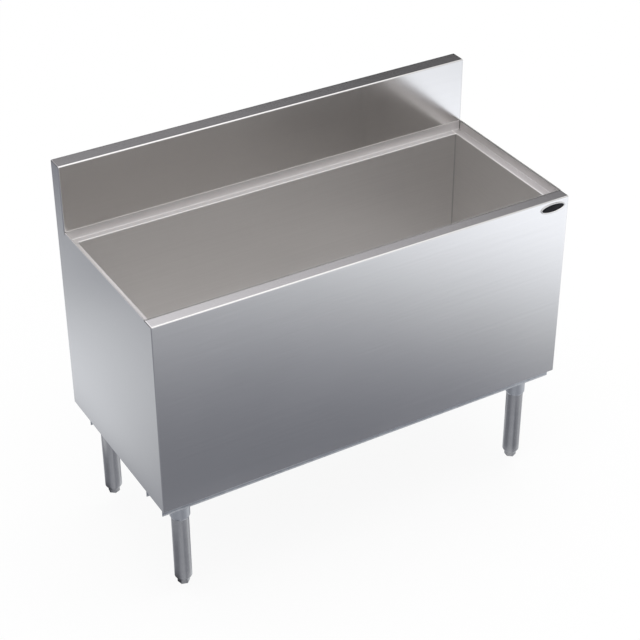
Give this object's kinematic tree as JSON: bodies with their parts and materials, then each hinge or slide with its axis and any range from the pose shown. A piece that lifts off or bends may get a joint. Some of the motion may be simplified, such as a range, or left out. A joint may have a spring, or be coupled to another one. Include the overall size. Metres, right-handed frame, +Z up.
{
  "type": "underbar ice bin",
  "caption": "Free-standing insulated steel ice bin with a raised backsplash, a ledge sunk round the ice tub, a floor drain and round legs on screw-adjusted feet.",
  "frame": {"origin": "on the floor, under the middle of the bin's width and depth", "axes": "+X to the right seen from the front, +Y from front to back, +Z up"},
  "size_m": [1.067, 0.4826, 0.9331],
  "materials": {
    "satin_steel": "fine satin",
    "mill_steel": "mill",
    "socket_steel": "matt",
    "leg_steel": "polished tube",
    "foot_steel": "turned",
    "fastener_steel": "plain",
    "drain_steel": "turned",
    "gasket_rubber": "matt",
    "foam": "rigid foam"
  },
  "bodies": {
    "bin": {"front_apron": "satin_steel", "left_side_panel": "satin_steel", "right_side_panel": "satin_steel", "back_panel": "mill_steel", "backsplash": "satin_steel", "ice_liner": "satin_steel", "foam_insulation": "foam", "bottom_pan": "mill_steel", "front_leg_channel": "mill_steel", "rear_leg_channel": "mill_steel", "socket_bolts": "fastener_steel", "socket_nuts": "fastener_steel", "leg_set_screws": "fastener_steel", "drain_body": "drain_steel", "drain_gasket": "gasket_rubber", "drain_locknut": "drain_steel", "leg_socket_front_left": "socket_steel", "leg_tube_front_left": "leg_steel", "foot_bush_front_left": "foot_steel", "leg_socket_front_right": "socket_steel", "leg_tube_front_right": "leg_steel", "foot_bush_front_right": "foot_steel", "leg_socket_rear_left": "socket_steel", "leg_tube_rear_left": "leg_steel", "foot_bush_rear_left": "foot_steel", "leg_socket_rear_right": "socket_steel", "leg_tube_rear_right": "leg_steel", "foot_bush_rear_right": "foot_steel"},
    "front_left_foot": {"foot_front_left": "foot_steel"},
    "front_right_foot": {"foot_front_right": "foot_steel"},
    "rear_left_foot": {"foot_rear_left": "foot_steel"},
    "rear_right_foot": {"foot_rear_right": "foot_steel"},
    "strainer": {"drain_strainer": "drain_steel"}
  },
  "joints": [
    {"name": "front_left_foot_screw", "type": "slide", "parent": "bin", "child": "front_left_foot", "axis": [0, 0, -1], "range_m": [0, 0.025]},
    {"name": "front_right_foot_screw", "type": "slide", "parent": "bin", "child": "front_right_foot", "axis": [0, 0, -1], "range_m": [0, 0.025]},
    {"name": "rear_left_foot_screw", "type": "slide", "parent": "bin", "child": "rear_left_foot", "axis": [0, 0, -1], "range_m": [0, 0.025]},
    {"name": "rear_right_foot_screw", "type": "slide", "parent": "bin", "child": "rear_right_foot", "axis": [0, 0, -1], "range_m": [0, 0.025]},
    {"name": "strainer_lift", "type": "slide", "parent": "bin", "child": "strainer", "axis": [0, 0, 1], "range_m": [0, 0.08]}
  ]
}
